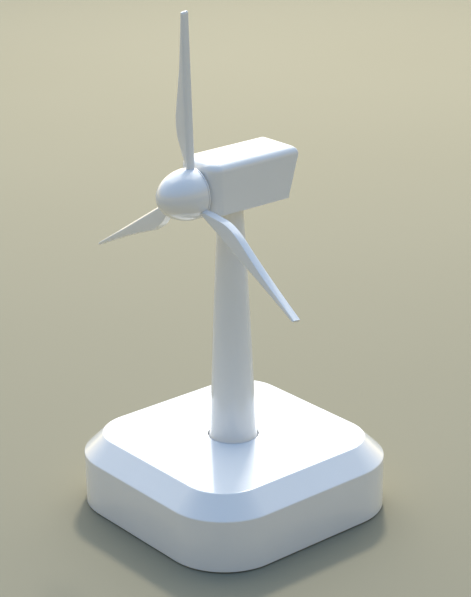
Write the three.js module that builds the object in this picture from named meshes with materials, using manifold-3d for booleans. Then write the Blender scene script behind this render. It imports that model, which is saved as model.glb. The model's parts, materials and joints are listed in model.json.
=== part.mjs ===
// A small wind turbine for a desk or windowsill: a heavy square base, a tapered tower, a nacelle
// that yaws on the tower, and a three-bladed rotor that drives a small generator.
// Millimetres, +Z up. The origin is on the ground under the tower, and the rotor faces -Y.

import * as THREE from 'three';
import { mergeVertices } from 'three/addons/utils/BufferGeometryUtils.js';
import Module from 'manifold-3d';

const wasm = await Module();
wasm.setup();

// ---- Driving dimensions ----

const GAP = 0.2;                 // clearance between pieces that fit together
const FIT = 0.15;                // clearance round a shaft, or round a piece held in a bore
const TOUCH = 0.1;               // what is left between two faces that rest on each other
const BASE_SIDE = 120;
const BASE_RADIUS = 30;
const BASE_TOP = 35.6;
const BASE_CHAMFER = 9.4;
const BASE_LIFT = 0.5;           // the feet hold the cover this far off the ground
const BASE_WALL = 2.4;

const TOWER_FOOT_R = 11.1;
const TOWER_TOP_R = 5.9;
const TOWER_BULGE = 0.3;         // how far the taper stands outside a straight cone at mid height
const TOWER_FLARE = 0.6;         // how far the tower's foot spreads at the flange
const TOWER_FLARE_HEIGHT = 1.4;  // the flare fades by a factor of e in this height
const TOWER_TOP = 151.4;
const TOWER_BORE_R = 3;
const FLANGE_R = 11.85;
const FLANGE_THICK = 1.9;
const SPIGOT_R = 9;
const SPIGOT_END = 20;

const AXIS_Z = 161.3;            // height of the rotor's axis
const NACELLE_HALF_W = 12.9;
const NACELLE_BOTTOM = 152.2;
const NACELLE_TOP = 175.7;
const NACELLE_FRONT = -20.2;
const NACELLE_REAR_LOW = 24.5;
const NACELLE_REAR_HIGH = 31.4;
const ROOF_ROUND = 4;            // round the whole roof
const FRONT_ROUND = 6.2;         // the two upright front edges
const NACELLE_WALL = 1.8;

const ROTOR_R = 82.3;
const BLADE_COUNT = 3;
const BLADE_FRONT = -25.7;
const BLADE_BACK = -21.7;
const SPINNER_R = 11.9;
const SPINNER_WALL = 1.5;
const SPINNER_SHOULDER = -24.6;  // where the straight rim turns into the dome
const SPINNER_NOSE = -40.8;
const DOME_POWER = 1.85;         // 2 would make the dome an ellipsoid; less makes it more pointed

const SHAFT_R = 1.5;
const GENERATOR_R = 6;
const GENERATOR_FRONT = -9;
const GENERATOR_REAR = 11;
const GENERATOR_SHAFT_R = 1;

const CELL_R = 9.2;
const CELL_LENGTH = 65;

// ---- Materials ----

function finish(color, roughness, metalness = 0) {
  return () => new THREE.MeshStandardMaterial({ color, roughness, metalness });
}

const whitePlastic = finish(0xf1f2f1, 0.22);
const innerPlastic = finish(0xc9cbca, 0.5);
const rubber = finish(0x2a2b2c, 0.85);
const steel = finish(0xa9acb0, 0.35, 1);
const darkSteel = finish(0x5d6064, 0.45, 1);
const brass = finish(0xc8a352, 0.35, 1);
const copper = finish(0xb5713f, 0.4, 1);
const circuit = finish(0x1f5a3a, 0.55);
const blackPlastic = finish(0x232427, 0.5);
const cellWrap = finish(0x3d6f9c, 0.4);
const cableSkin = finish(0x303236, 0.6);
const nylon = finish(0xe3dfd2, 0.5);

// ---- Solids ----

function toSolid(geometry) {
  const bare = geometry.clone();
  bare.deleteAttribute('normal');
  bare.deleteAttribute('uv');
  const merged = mergeVertices(bare);
  const index = merged.index.array;
  const triangles = [];
  for (let i = 0; i < index.length; i += 3) {
    const [a, b, c] = [index[i], index[i + 1], index[i + 2]];
    if (a !== b && b !== c && c !== a) triangles.push(a, b, c);
  }
  const mesh = new wasm.Mesh({
    numProp: 3,
    vertProperties: new Float32Array(merged.attributes.position.array),
    triVerts: new Uint32Array(triangles),
  });
  return new wasm.Manifold(mesh);
}

function toGeometry(solid) {
  const mesh = solid.getMesh();
  const geometry = new THREE.BufferGeometry();
  geometry.setAttribute('position', new THREE.BufferAttribute(new Float32Array(mesh.vertProperties), 3));
  geometry.setIndex(new THREE.BufferAttribute(new Uint32Array(mesh.triVerts), 1));
  geometry.computeVertexNormals();
  return geometry;
}

function cut(body, ...tools) {
  return tools.reduce((rest, tool) => rest.subtract(tool), body);
}

function join(body, ...others) {
  return others.reduce((whole, other) => whole.add(other), body);
}

// A solid of revolution about Z; the profile lists [radius, z] anticlockwise.
function turnedZ(profile, segments = 20) {
  return toSolid(new THREE.LatheGeometry(profile.map(([r, z]) => new THREE.Vector2(r, z)), segments)
    .rotateX(Math.PI / 2));
}

// A solid of revolution about the rotor's axis; the profile lists [radius, y] anticlockwise.
function turnedY(profile, segments = 20) {
  return toSolid(new THREE.LatheGeometry(profile.map(([r, y]) => new THREE.Vector2(r, y)), segments)
    .translate(0, 0, AXIS_Z));
}

function discProfile(radius, low, high) {
  return [[0, low], [radius, low], [radius, high], [0, high]];
}

function ringProfile(inner, outer, low, high) {
  return [[inner, low], [outer, low], [outer, high], [inner, high], [inner, low]];
}

function postZ(radius, low, high, x = 0, y = 0, segments = 12) {
  return turnedZ(discProfile(radius, low, high), segments).translate(x, y, 0);
}

function box(low, high) {
  const size = high.map((value, i) => value - low[i]);
  return toSolid(new THREE.BoxGeometry(...size)
    .translate(low[0] + size[0] / 2, low[1] + size[1] / 2, low[2] + size[2] / 2));
}

// A polygon, listed anticlockwise as [x, y, radius], with each corner rounded to its radius.
function roundedShape(corners) {
  const shape = new THREE.Shape();
  corners.forEach(([x, y, radius = 0], i) => {
    const here = new THREE.Vector2(x, y);
    const [before, after] = [corners.at(i - 1), corners[(i + 1) % corners.length]]
      .map(([px, py]) => new THREE.Vector2(px, py).sub(here).normalize());
    const half = Math.acos(before.dot(after)) / 2;
    const start = before.clone().multiplyScalar(radius / Math.tan(half)).add(here);
    if (i === 0) shape.moveTo(start.x, start.y);
    else shape.lineTo(start.x, start.y);
    if (radius > 0) {
      const inward = before.clone().add(after).normalize();
      const middle = inward.multiplyScalar(radius / Math.sin(half)).add(here);
      const end = after.clone().multiplyScalar(radius / Math.tan(half)).add(here);
      const [from, to] = [start, end].map((point) => point.sub(middle).angle());
      shape.absarc(middle.x, middle.y, radius, from, to);
    }
  });
  shape.closePath();
  return shape;
}

function roundedSquare(side, radius) {
  const half = side / 2;
  const corners = [[half, -half], [half, half], [-half, half], [-half, -half]];
  return roundedShape(corners.map(([x, y]) => [x, y, radius]));
}

function extruded(shape, depth, curveSegments) {
  return new THREE.ExtrudeGeometry(shape, { depth, bevelEnabled: false, curveSegments });
}

function slab(shape, low, high, curveSegments = 6) {
  return toSolid(extruded(shape, high - low, curveSegments).translate(0, 0, low));
}

// A rounded square block with a 45 degree chamfer round its top edge only.
function chamferedBlock(side, radius, low, high, chamfer) {
  const start = low - chamfer - 1;
  const geometry = new THREE.ExtrudeGeometry(roundedSquare(side, radius), {
    depth: high - chamfer - (start + chamfer),
    bevelEnabled: true,
    bevelThickness: chamfer,
    bevelSize: chamfer,
    bevelOffset: -chamfer,
    bevelSegments: 1,
    curveSegments: 6,
  }).translate(0, 0, start + chamfer);
  return cut(toSolid(geometry), box([-side, -side, start - 1], [side, side, low]));
}

// A round wire or cable along a curve.
function cable(points, radius, steps) {
  const section = new THREE.Shape().absarc(0, 0, radius, 0, Math.PI * 2);
  const places = points.map((point) => new THREE.Vector3(...point));
  const path = new THREE.CatmullRomCurve3(places, false, 'centripetal');
  return toSolid(new THREE.ExtrudeGeometry(section, { steps, extrudePath: path, curveSegments: 4 }));
}

function hexagon(acrossFlats) {
  const shape = new THREE.Shape();
  const corner = acrossFlats / Math.sqrt(3);
  for (let i = 0; i < 6; i += 1) {
    const angle = (i * Math.PI) / 3;
    const [x, y] = [corner * Math.cos(angle), corner * Math.sin(angle)];
    if (i === 0) shape.moveTo(x, y);
    else shape.lineTo(x, y);
  }
  shape.closePath();
  return shape;
}

// A pan-head screw that points up, with its head at the bottom.
function screwUp([x, y], headLow, headHigh, headR, shankR, tip) {
  const head = [[0, headLow], [headR, headLow], [headR, headHigh]];
  return turnedZ([...head, [shankR, headHigh], [shankR, tip], [0, tip]], 10).translate(x, y, 0);
}

// ---- Assembly ----

const turbine = new THREE.Group();
const baseGroup = new THREE.Group();
const towerGroup = new THREE.Group();
const nacelleGroup = new THREE.Group();
const rotorGroup = new THREE.Group();
turbine.add(baseGroup, towerGroup, nacelleGroup);
nacelleGroup.add(rotorGroup);

function place(group, name, solid, material) {
  const mesh = new THREE.Mesh(toGeometry(solid), material());
  mesh.name = name;
  group.add(mesh);
}

function around(count, make) {
  for (let i = 0; i < count; i += 1) make(i + 1, (i * 2 * Math.PI) / count);
}

// The four corners at the given distances from the middle.
function fourCorners(x, y = x) {
  return [[x, y], [-x, y], [-x, -y], [x, -y]];
}

// ---- Base ----

const ceiling = BASE_TOP - BASE_WALL;
const bossBottom = 28;
const counterboreFloor = BASE_TOP - FLANGE_THICK - GAP;
const counterboreR = FLANGE_R + 0.4;
const bossR = 17;
const screwX = 40;
const screwR = 1.3;
const screwHeadR = 3;
const screwTip = 12;
const screwPilotR = 1.5;
const screwPilotTop = 16;
const coverPostR = 4;
const plateTop = 2.9;
const pocketTop = 1.9;
const footR = 6;
const footTop = 1.9;
const [footX, footY] = [30, 44];
const socketZ = 15.1;
const socketHalf = [4.6, 1.7];
const socketWall = 0.4;
const socketGap = 0.4;
const socketY = [49, 59.7];
const boardLow = 11.6;
const boardTop = boardLow + 1.6;
const boardX = [-28, 28];
const boardY = [17, 51];
const boardPostR = 2.5;
const boardHoleR = 1.2;
const boardPosts = [-24, 24].flatMap((x) => [20.5, 47.5].map((y) => [x, y]));

function stadium(halfWidth, halfHeight) {
  const shape = new THREE.Shape();
  const flat = halfWidth - halfHeight;
  shape.moveTo(-flat, -halfHeight);
  shape.absarc(flat, 0, halfHeight, -Math.PI / 2, Math.PI / 2);
  shape.absarc(-flat, 0, halfHeight, Math.PI / 2, Math.PI * 1.5);
  return shape;
}

// A stadium-shaped bar that runs along Y between two places.
function stadiumBar(halfWidth, halfHeight, front, rear, z) {
  const shape = stadium(halfWidth, halfHeight);
  return toSolid(extruded(shape, rear - front, 6)
    .rotateX(Math.PI / 2)
    .translate(0, rear, z));
}

function makeBaseCover() {
  const outer = chamferedBlock(BASE_SIDE, BASE_RADIUS, BASE_LIFT, BASE_TOP, BASE_CHAMFER);
  const inner = chamferedBlock(
    BASE_SIDE - 2 * BASE_WALL,
    BASE_RADIUS - BASE_WALL,
    BASE_LIFT - 1,
    ceiling,
    BASE_CHAMFER - BASE_WALL / 2,
  );
  const boss = postZ(bossR, bossBottom, ceiling + 1, 0, 0, 24);
  const posts = fourCorners(screwX).map(([x, y]) => postZ(coverPostR, plateTop + GAP, ceiling + 1, x, y));
  const pilots = fourCorners(screwX).map(([x, y]) => postZ(screwPilotR, 0, screwPilotTop, x, y, 8));
  return cut(
    join(cut(outer, inner), boss, ...posts),
    ...pilots,
    postZ(SPIGOT_R + GAP, 0, BASE_TOP + 1, 0, 0, 32),
    postZ(counterboreR, counterboreFloor, BASE_TOP + 1, 0, 0, 32),
    stadiumBar(socketHalf[0] + socketGap, socketHalf[1] + socketGap, 55, BASE_SIDE / 2 + 2, socketZ),
  );
}

function makeBasePlate() {
  const margin = BASE_WALL + 0.3;
  const plate = slab(roundedSquare(BASE_SIDE - 2 * margin, BASE_RADIUS - margin), BASE_LIFT, plateTop);
  const props = boardPosts.map(([x, y]) => postZ(boardPostR, plateTop - 1, boardLow - TOUCH, x, y));
  const feet = fourCorners(footX, footY);
  const footPockets = feet.map(([x, y]) => postZ(footR + GAP, 0, footTop + TOUCH, x, y, 16));
  const screwHoles = fourCorners(screwX).map(([x, y]) => postZ(screwR + 0.3, 0, plateTop + 1, x, y, 8));
  const headPockets = fourCorners(screwX).map(([x, y]) => postZ(screwHeadR + GAP, 0, pocketTop, x, y));
  return cut(join(plate, ...props), ...footPockets, ...screwHoles, ...headPockets);
}

place(baseGroup, 'base_cover', makeBaseCover(), whitePlastic);
place(baseGroup, 'base_plate', makeBasePlate(), innerPlastic);
fourCorners(footX, footY).forEach(([x, y], n) => {
  place(baseGroup, `foot_${n + 1}`, postZ(footR, 0, footTop, x, y, 16), rubber);
});
fourCorners(screwX).forEach((spot, n) => {
  const screw = screwUp(spot, pocketTop - 1, pocketTop - TOUCH, screwHeadR, screwR, screwTip);
  place(baseGroup, `base_screw_${n + 1}`, screw, steel);
});

const ballastLow = plateTop + TOUCH;
const ballastTop = 9.5;
const ballastX = 35;
const [ballastFront, ballastRear] = [-46, 14];
place(baseGroup, 'ballast_plate', box(
  [-ballastX, ballastFront, ballastLow],
  [ballastX, ballastRear, ballastTop],
), darkSteel);

const cellY = -33;
const cellZ = ballastTop + 1.4 + CELL_R;
const [holderX, holderY, holderTop] = [35, 10.5, 20];

function barX(radius, half, y, z, segments) {
  return toSolid(new THREE.CylinderGeometry(radius, radius, 2 * half, segments)
    .rotateZ(Math.PI / 2)
    .translate(0, y, z));
}

place(baseGroup, 'battery_holder', cut(
  box([-holderX, cellY - holderY, ballastTop + TOUCH], [holderX, cellY + holderY, holderTop]),
  barX(CELL_R + GAP, CELL_LENGTH / 2 + 1, cellY, cellZ, 24),
), blackPlastic);
place(baseGroup, 'battery_cell', barX(CELL_R, CELL_LENGTH / 2, cellY, cellZ, 24), cellWrap);

place(baseGroup, 'charge_board', cut(
  box([boardX[0], boardY[0], boardLow], [boardX[1], boardY[1], boardTop]),
  ...boardPosts.map(([x, y]) => postZ(boardHoleR, boardLow - 1, boardTop + 1, x, y)),
), circuit);

const partLow = boardTop + TOUCH;
const capacitor = { radius: 4, top: 23, x: -17, y: 40 };
const coil = { inner: 2, outer: 5, top: 17.5, x: 16, y: 36 };
const header = { low: [-4, 17.5, partLow], high: [4, 23, 18] };
place(baseGroup, 'board_capacitor', postZ(
  capacitor.radius, partLow, capacitor.top, capacitor.x, capacitor.y, 16,
), blackPlastic);
place(baseGroup, 'board_coil', turnedZ(
  ringProfile(coil.inner, coil.outer, partLow, coil.top), 16,
).translate(coil.x, coil.y, 0), copper);
place(baseGroup, 'board_header', box(header.low, header.high), nylon);

function makeOutputSocket() {
  const [rear, front] = socketY;
  const [halfW, halfH] = socketHalf;
  const mouthEnd = rear + 4;
  const [tongueX, tongueZ] = [3.4, 0.35];
  const body = stadiumBar(halfW, halfH, rear, front, socketZ);
  const mouth = stadiumBar(halfW - socketWall, halfH - socketWall, mouthEnd, front + 1, socketZ);
  const tongue = box(
    [-tongueX, mouthEnd - 0.5, socketZ - tongueZ],
    [tongueX, front - 0.8, socketZ + tongueZ],
  );
  return join(cut(body, mouth), tongue);
}

place(baseGroup, 'output_socket', makeOutputSocket(), steel);

// ---- Tower ----

const mouthR = 4.6;
const mouthFloor = 141.5;

function towerRadius(t) {
  return TOWER_FOOT_R + (TOWER_TOP_R - TOWER_FOOT_R) * t + 4 * TOWER_BULGE * t * (1 - t);
}

const flangeTop = BASE_TOP - TOUCH;
// Shares of the tower's height where its profile has a point, close together in the flare.
const towerStops = [0, 0.006, 0.02, 0.04, 0.2, 0.4, 0.6, 0.8, 1];

function makeTower() {
  const profile = [
    [TOWER_BORE_R, SPIGOT_END],
    [SPIGOT_R, SPIGOT_END],
    [SPIGOT_R, flangeTop - FLANGE_THICK],
    [FLANGE_R, flangeTop - FLANGE_THICK],
    [FLANGE_R, flangeTop],
  ];
  for (const t of towerStops) {
    const above = (TOWER_TOP - flangeTop) * t;
    const flare = TOWER_FLARE * Math.exp(-above / TOWER_FLARE_HEIGHT);
    profile.push([towerRadius(t) + flare, flangeTop + above]);
  }
  profile.push(
    [mouthR, TOWER_TOP],
    [mouthR, mouthFloor],
    [TOWER_BORE_R, mouthFloor],
    [TOWER_BORE_R, SPIGOT_END],
  );
  return turnedZ(profile, 32);
}

place(towerGroup, 'tower', makeTower(), whitePlastic);

const washerR = 14;
const washerLow = bossBottom - 1;
const nutFlats = 25;
const [nutLow, nutHigh] = [22, washerLow - TOUCH];
place(towerGroup, 'tower_washer', turnedZ(
  ringProfile(SPIGOT_R + 0.3, washerR, washerLow, bossBottom - TOUCH), 24,
), steel);
place(towerGroup, 'tower_nut', cut(
  slab(hexagon(nutFlats), nutLow, nutHigh),
  postZ(SPIGOT_R + 0.3, nutLow - 1, nutHigh + 1, 0, 0, 24),
), nylon);

const stemR = 2.9;
const stemBore = 1.7;
const stemEnd = 141.8;
const clipLow = 142.4;
place(towerGroup, 'yaw_bush', turnedZ(
  ringProfile(stemR + FIT, mouthR - FIT, clipLow + 1.2, TOWER_TOP - TOUCH),
), brass);
place(towerGroup, 'yaw_washer', turnedZ(
  ringProfile(stemR + 0.2, TOWER_TOP_R - 0.2, TOWER_TOP + TOUCH, NACELLE_BOTTOM - TOUCH), 24,
), nylon);

const cableR = 1.2;
const connectorR = 2;
const connectorTop = stemEnd - 1.4;
const connectorLow = connectorTop - 3.5;
place(towerGroup, 'cable_connector', postZ(connectorR, connectorLow, connectorTop), nylon);
place(towerGroup, 'tower_cable', cable([
  [0, 0, connectorLow - TOUCH],
  [0, 0, 100],
  [0, 0, 60],
  [0, 0, 26],
  [0, 0.6, 20.5],
  [0, 3.2, 17],
  [0, 8, 15.8],
  [0, 13, 15.6],
  [0, 17.3, 15.6],
], cableR, 26), cableSkin);

// ---- Nacelle ----

const nacelleRoof = NACELLE_TOP - NACELLE_WALL;
const floorTop = NACELLE_BOTTOM + 1.5;
const floorScrewX = 9.2;
const floorScrewY = [-15.2, 17];
const bearingFront = -18.2;
const bearingRear = -15.4;
const bearingR = 3.9;
const bearingInnerR = 2.7;
const innerRaceR = 2.4;
const bearingSeatR = 6;
const floorPostR = 2.2;
const floorPilotR = 0.9;
const floorPilotTop = 163;
const floorScrewTip = 161;
const floorHeadR = 1.5;

function rearAt(z) {
  const share = (z - NACELLE_BOTTOM) / (NACELLE_TOP - NACELLE_BOTTOM);
  return NACELLE_REAR_LOW + (NACELLE_REAR_HIGH - NACELLE_REAR_LOW) * share;
}

// The side view, with the rear face slanted. Shape x is y, shape y is z.
function sideOutline() {
  return roundedShape([
    [NACELLE_FRONT, NACELLE_BOTTOM],
    [NACELLE_REAR_LOW, NACELLE_BOTTOM],
    [NACELLE_REAR_HIGH, NACELLE_TOP, ROOF_ROUND],
    [NACELLE_FRONT, NACELLE_TOP, ROOF_ROUND],
  ]);
}

// The front view. Shape x is x, shape y is z.
function frontOutline() {
  const w = NACELLE_HALF_W;
  return roundedShape([
    [-w, NACELLE_BOTTOM],
    [w, NACELLE_BOTTOM],
    [w, NACELLE_TOP, ROOF_ROUND],
    [-w, NACELLE_TOP, ROOF_ROUND],
  ]);
}

// The plan view, pulled in all round by the inset.
function planOutline(inset) {
  const w = NACELLE_HALF_W - inset;
  const [front, rear] = [NACELLE_FRONT + inset, NACELLE_REAR_HIGH + 1];
  const round = FRONT_ROUND - inset;
  return roundedShape([[w, rear], [-w, rear], [-w, front, round], [w, front, round]]);
}

// Turns a side-view outline, drawn as (y, z), into a solid of the given half width.
function sideSolid(shape, halfWidth) {
  return toSolid(extruded(shape, 2 * halfWidth, 4)
    .rotateX(Math.PI / 2)
    .rotateZ(Math.PI / 2)
    .translate(-halfWidth, 0, 0));
}

// Turns a front-view outline, drawn as (x, z), into a solid between two places along Y.
function frontSolid(shape, front, rear) {
  return toSolid(extruded(shape, rear - front, 4)
    .rotateX(Math.PI / 2)
    .translate(0, rear, 0));
}

// The room inside the shell, open at the bottom.
function cavityOutline() {
  const low = NACELLE_BOTTOM - 1;
  const shape = new THREE.Shape();
  shape.moveTo(NACELLE_FRONT + NACELLE_WALL, low);
  shape.lineTo(rearAt(low) - NACELLE_WALL, low);
  shape.lineTo(rearAt(nacelleRoof) - NACELLE_WALL, nacelleRoof);
  shape.lineTo(NACELLE_FRONT + NACELLE_WALL, nacelleRoof);
  shape.closePath();
  return shape;
}

function floorScrewPlaces() {
  return floorScrewY.flatMap((y) => [-floorScrewX, floorScrewX].map((x) => [x, y]));
}

function makeNacelleShell() {
  const outer = frontSolid(frontOutline(), NACELLE_FRONT - 1, NACELLE_REAR_HIGH + 1)
    .intersect(sideSolid(sideOutline(), NACELLE_HALF_W + 1))
    .intersect(slab(planOutline(0), NACELLE_BOTTOM - 1, NACELLE_TOP + 1, 4));
  const cavity = sideSolid(cavityOutline(), NACELLE_HALF_W - NACELLE_WALL)
    .intersect(slab(planOutline(NACELLE_WALL), NACELLE_BOTTOM - 2, NACELLE_TOP, 4));
  const seatFront = NACELLE_FRONT + NACELLE_WALL - 0.5;
  const bearingSeat = turnedY(discProfile(bearingSeatR, seatFront, bearingRear + 0.4));
  const spots = floorScrewPlaces();
  const posts = spots.map(([x, y]) => postZ(floorPostR, floorTop + TOUCH, nacelleRoof + 0.5, x, y));
  const pilots = spots.map(([x, y]) => postZ(floorPilotR, floorTop - 1, floorPilotTop, x, y, 8));
  return cut(
    join(cut(outer, cavity), bearingSeat, ...posts),
    ...pilots,
    turnedY(discProfile(bearingR + TOUCH, bearingFront - TOUCH, bearingRear + 1)),
    turnedY(discProfile(SHAFT_R + 0.7, NACELLE_FRONT - 1, bearingFront)),
  );
}

function makeNacelleFloor() {
  const inset = NACELLE_WALL + GAP;
  const plate = slab(planOutline(inset), NACELLE_BOTTOM, floorTop, 4).intersect(box(
    [-NACELLE_HALF_W, NACELLE_FRONT, NACELLE_BOTTOM],
    [NACELLE_HALF_W, NACELLE_REAR_LOW - inset, floorTop],
  ));
  const stem = postZ(stemR, stemEnd, NACELLE_BOTTOM + 0.5, 0, 0, 20);
  const groove = turnedZ(ringProfile(stemR - 0.5, stemR + 1, clipLow - TOUCH, clipLow + 0.7));
  const bore = postZ(stemBore, stemEnd - 1, floorTop + 1);
  const spots = floorScrewPlaces();
  const [low, headTop] = [NACELLE_BOTTOM - 1, NACELLE_BOTTOM + 0.8];
  const holes = spots.map(([x, y]) => postZ(floorPilotR, low, floorTop + 1, x, y, 8));
  const heads = spots.map(([x, y]) => postZ(floorHeadR + GAP, low, headTop, x, y, 10));
  return cut(join(plate, stem), groove, bore, ...holes, ...heads);
}

place(nacelleGroup, 'nacelle_shell', makeNacelleShell(), whitePlastic);
place(nacelleGroup, 'nacelle_floor', makeNacelleFloor(), whitePlastic);
floorScrewPlaces().forEach((spot, n) => {
  const screw = screwUp(spot, NACELLE_BOTTOM + TOUCH, NACELLE_BOTTOM + 0.7, floorHeadR, 0.7, floorScrewTip);
  place(nacelleGroup, `floor_screw_${n + 1}`, screw, steel);
});
place(nacelleGroup, 'yaw_clip', turnedZ(
  ringProfile(stemR - 0.35, mouthR - 0.3, clipLow, clipLow + 0.6),
), steel);
place(nacelleGroup, 'bearing_outer_race', turnedY(
  ringProfile(bearingInnerR, bearingR, bearingFront, bearingRear),
), steel);

// ---- Generator ----

const canWall = 0.6;
const capFront = GENERATOR_REAR - 1.4;
const magnetR = 4;
const magnetFront = -7;

place(nacelleGroup, 'generator_can', turnedY([
  [GENERATOR_SHAFT_R + GAP, GENERATOR_FRONT],
  [GENERATOR_R, GENERATOR_FRONT],
  [GENERATOR_R, GENERATOR_REAR],
  [GENERATOR_R - canWall, GENERATOR_REAR],
  [GENERATOR_R - canWall, GENERATOR_FRONT + canWall],
  [GENERATOR_SHAFT_R + GAP, GENERATOR_FRONT + canWall],
  [GENERATOR_SHAFT_R + GAP, GENERATOR_FRONT],
], 24), steel);
place(nacelleGroup, 'generator_end_cap', turnedY(
  ringProfile(GENERATOR_SHAFT_R + GAP, GENERATOR_R - canWall - FIT, capFront, GENERATOR_REAR + 0.4), 24,
), blackPlastic);
place(nacelleGroup, 'stator_winding', turnedY(
  ringProfile(magnetR + 0.4, GENERATOR_R - canWall - FIT, magnetFront + 0.5, capFront - 1), 24,
), copper);

const cradleY = [-8.6, -2.4];
const strapScrewY = (cradleY[0] + cradleY[1]) / 2;
const strapR = 7.3;
const earX = 9.9;
const strapScrewX = 8.6;
const strapHoleR = 0.8;
const strapScrewTip = AXIS_Z - 4.3;

function alongCan(radius, front, rear) {
  return turnedY(discProfile(radius, front, rear), 24);
}

function makeCradle() {
  const block = box([-earX, cradleY[0], floorTop + TOUCH], [earX, cradleY[1], AXIS_Z - TOUCH]);
  const low = strapScrewTip - 1;
  const pilots = [-strapScrewX, strapScrewX].map((x) => postZ(strapHoleR, low, AXIS_Z + 1, x, strapScrewY));
  return cut(block, alongCan(GENERATOR_R + FIT, -12, 12), ...pilots);
}

function makeStrap() {
  const ears = box([-earX, cradleY[0], AXIS_Z + TOUCH], [earX, cradleY[1], AXIS_Z + 1.3]);
  const hoop = cut(alongCan(strapR, ...cradleY), box([-12, -12, AXIS_Z - 12], [12, 12, AXIS_Z + TOUCH]));
  const [low, high] = [AXIS_Z - 1, AXIS_Z + 3];
  const holes = [-strapScrewX, strapScrewX].map((x) => postZ(strapHoleR, low, high, x, strapScrewY));
  return cut(join(ears, hoop), alongCan(GENERATOR_R + FIT, -12, 12), ...holes);
}

function strapScrew(x) {
  const top = AXIS_Z + 2.3;
  const under = AXIS_Z + 1.4;
  const [shankR, headR] = [0.6, 1.25];
  const shank = [[0, strapScrewTip], [shankR, strapScrewTip], [shankR, under]];
  return turnedZ([...shank, [headR, under], [headR, top], [0, top]], 10).translate(x, strapScrewY, 0);
}

place(nacelleGroup, 'generator_cradle', makeCradle(), innerPlastic);
place(nacelleGroup, 'generator_strap', makeStrap(), innerPlastic);
place(nacelleGroup, 'strap_screw_1', strapScrew(-strapScrewX), steel);
place(nacelleGroup, 'strap_screw_2', strapScrew(strapScrewX), steel);

const leadZ = floorTop + 0.8;
const leadR = 0.6;
place(nacelleGroup, 'generator_lead', cable([
  [0, GENERATOR_REAR + 0.5, AXIS_Z - 3.6],
  [0, 13.4, AXIS_Z - 3.8],
  [0, 14.6, AXIS_Z - 5.2],
  [0, 13.2, leadZ + TOUCH],
  [0, 9, leadZ],
  [0, 3, leadZ],
  [0, 0.9, leadZ - 0.6],
  [0, 0, leadZ - 2.8],
  [0, 0, 148],
  [0, 0, stemEnd - 1.3],
], leadR, 30), cableSkin);

// ---- Rotor ----

const coreR = 9.6;
const coreFront = -28.5;
const coreBack = BLADE_BACK - 0.05;
const plateFront = BLADE_BACK + TOUCH;
const plateBack = -20.9;
const shankRoot = 4.5;
const shankTau = [-0.9, 1.85];
const hubScrewR = 7;
const hubScrewTurn = Math.PI / 3;
const hubHoleR = 1.05;

// Each blade is drawn pointing up, then turned about the rotor's axis. x is the leading side.
function turnRotor(solid, angle) {
  const toAxis = solid.translate(0, 0, -AXIS_Z);
  return toAxis.rotate(0, THREE.MathUtils.radToDeg(angle), 0).translate(0, 0, AXIS_Z);
}

const neck = SPINNER_R + 0.2;
const bellyR = 33.5;
const bellyTau = -7.8;
const [riseR, riseTau] = [24, -6.3];
const tipTau = [-2.05, -0.45];
const bladeChamfer = 0.5;

// The outline of a blade, drawn as (distance from its centre line, radius from the axis).
function bladeOutline() {
  const shape = new THREE.Shape();
  shape.moveTo(shankTau[1], shankRoot);
  shape.lineTo(shankTau[1], neck);
  shape.lineTo(tipTau[1], ROTOR_R);
  shape.lineTo(tipTau[0], ROTOR_R);
  shape.bezierCurveTo(-4.9, 47, bellyTau, 39, bellyTau, bellyR);
  shape.bezierCurveTo(bellyTau, 29.5, -7.4, 27, riseTau, riseR);
  shape.bezierCurveTo(-4.7, 20, -2.8, 16, shankTau[0], neck);
  shape.lineTo(shankTau[0], shankRoot);
  shape.closePath();
  return shape;
}

// A blade is flat at the back and chamfered round its front.
function makeBlade(angle) {
  const long = toSolid(new THREE.ExtrudeGeometry(bladeOutline(), {
    depth: BLADE_BACK - BLADE_FRONT,
    bevelEnabled: true,
    bevelThickness: bladeChamfer,
    bevelSize: bladeChamfer,
    bevelOffset: -bladeChamfer,
    bevelSegments: 1,
    curveSegments: 6,
  }).rotateX(Math.PI / 2).translate(0, BLADE_BACK + bladeChamfer, AXIS_Z));
  const behind = box([-ROTOR_R, BLADE_BACK, AXIS_Z - 1], [ROTOR_R, BLADE_BACK + 5, AXIS_Z + ROTOR_R + 1]);
  return turnRotor(cut(long, behind), angle);
}

// The room that a blade's root takes, with clearance, open towards the back.
function rootRoom(angle, inner, outer) {
  const room = box(
    [shankTau[0] - GAP, BLADE_FRONT - 0.3, AXIS_Z + inner],
    [shankTau[1] + GAP, BLADE_BACK + 2, AXIS_Z + outer],
  );
  return turnRotor(room, angle);
}

// Half of a dome's section, from its nose to its rim.
function domeProfile(radius, length) {
  const steps = 8;
  const profile = [[0, SPINNER_SHOULDER - length]];
  for (let i = 1; i <= steps; i += 1) {
    const angle = (i / steps) * (Math.PI / 2);
    const parts = [Math.sin(angle), Math.max(0, Math.cos(angle))];
    const [across, along] = parts.map((part) => part ** (2 / DOME_POWER));
    profile.push([radius * across, SPINNER_SHOULDER - length * along]);
  }
  return profile;
}

function spinnerProfile() {
  const innerR = SPINNER_R - SPINNER_WALL;
  const length = SPINNER_SHOULDER - SPINNER_NOSE;
  const outer = domeProfile(SPINNER_R, length);
  const inner = domeProfile(innerR, length - SPINNER_WALL).reverse();
  return [...outer, [SPINNER_R, BLADE_BACK], [innerR, BLADE_BACK], ...inner];
}

function makeSpinner() {
  const slots = [];
  around(BLADE_COUNT, (n, angle) => slots.push(rootRoom(angle, 8, 16)));
  return cut(turnedY(spinnerProfile(), 30), ...slots);
}

function hubScrewHole(angle, radius, front, rear) {
  const hole = turnedY(discProfile(radius, front, rear), 8).translate(0, 0, hubScrewR);
  return turnRotor(hole, angle + hubScrewTurn);
}

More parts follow.
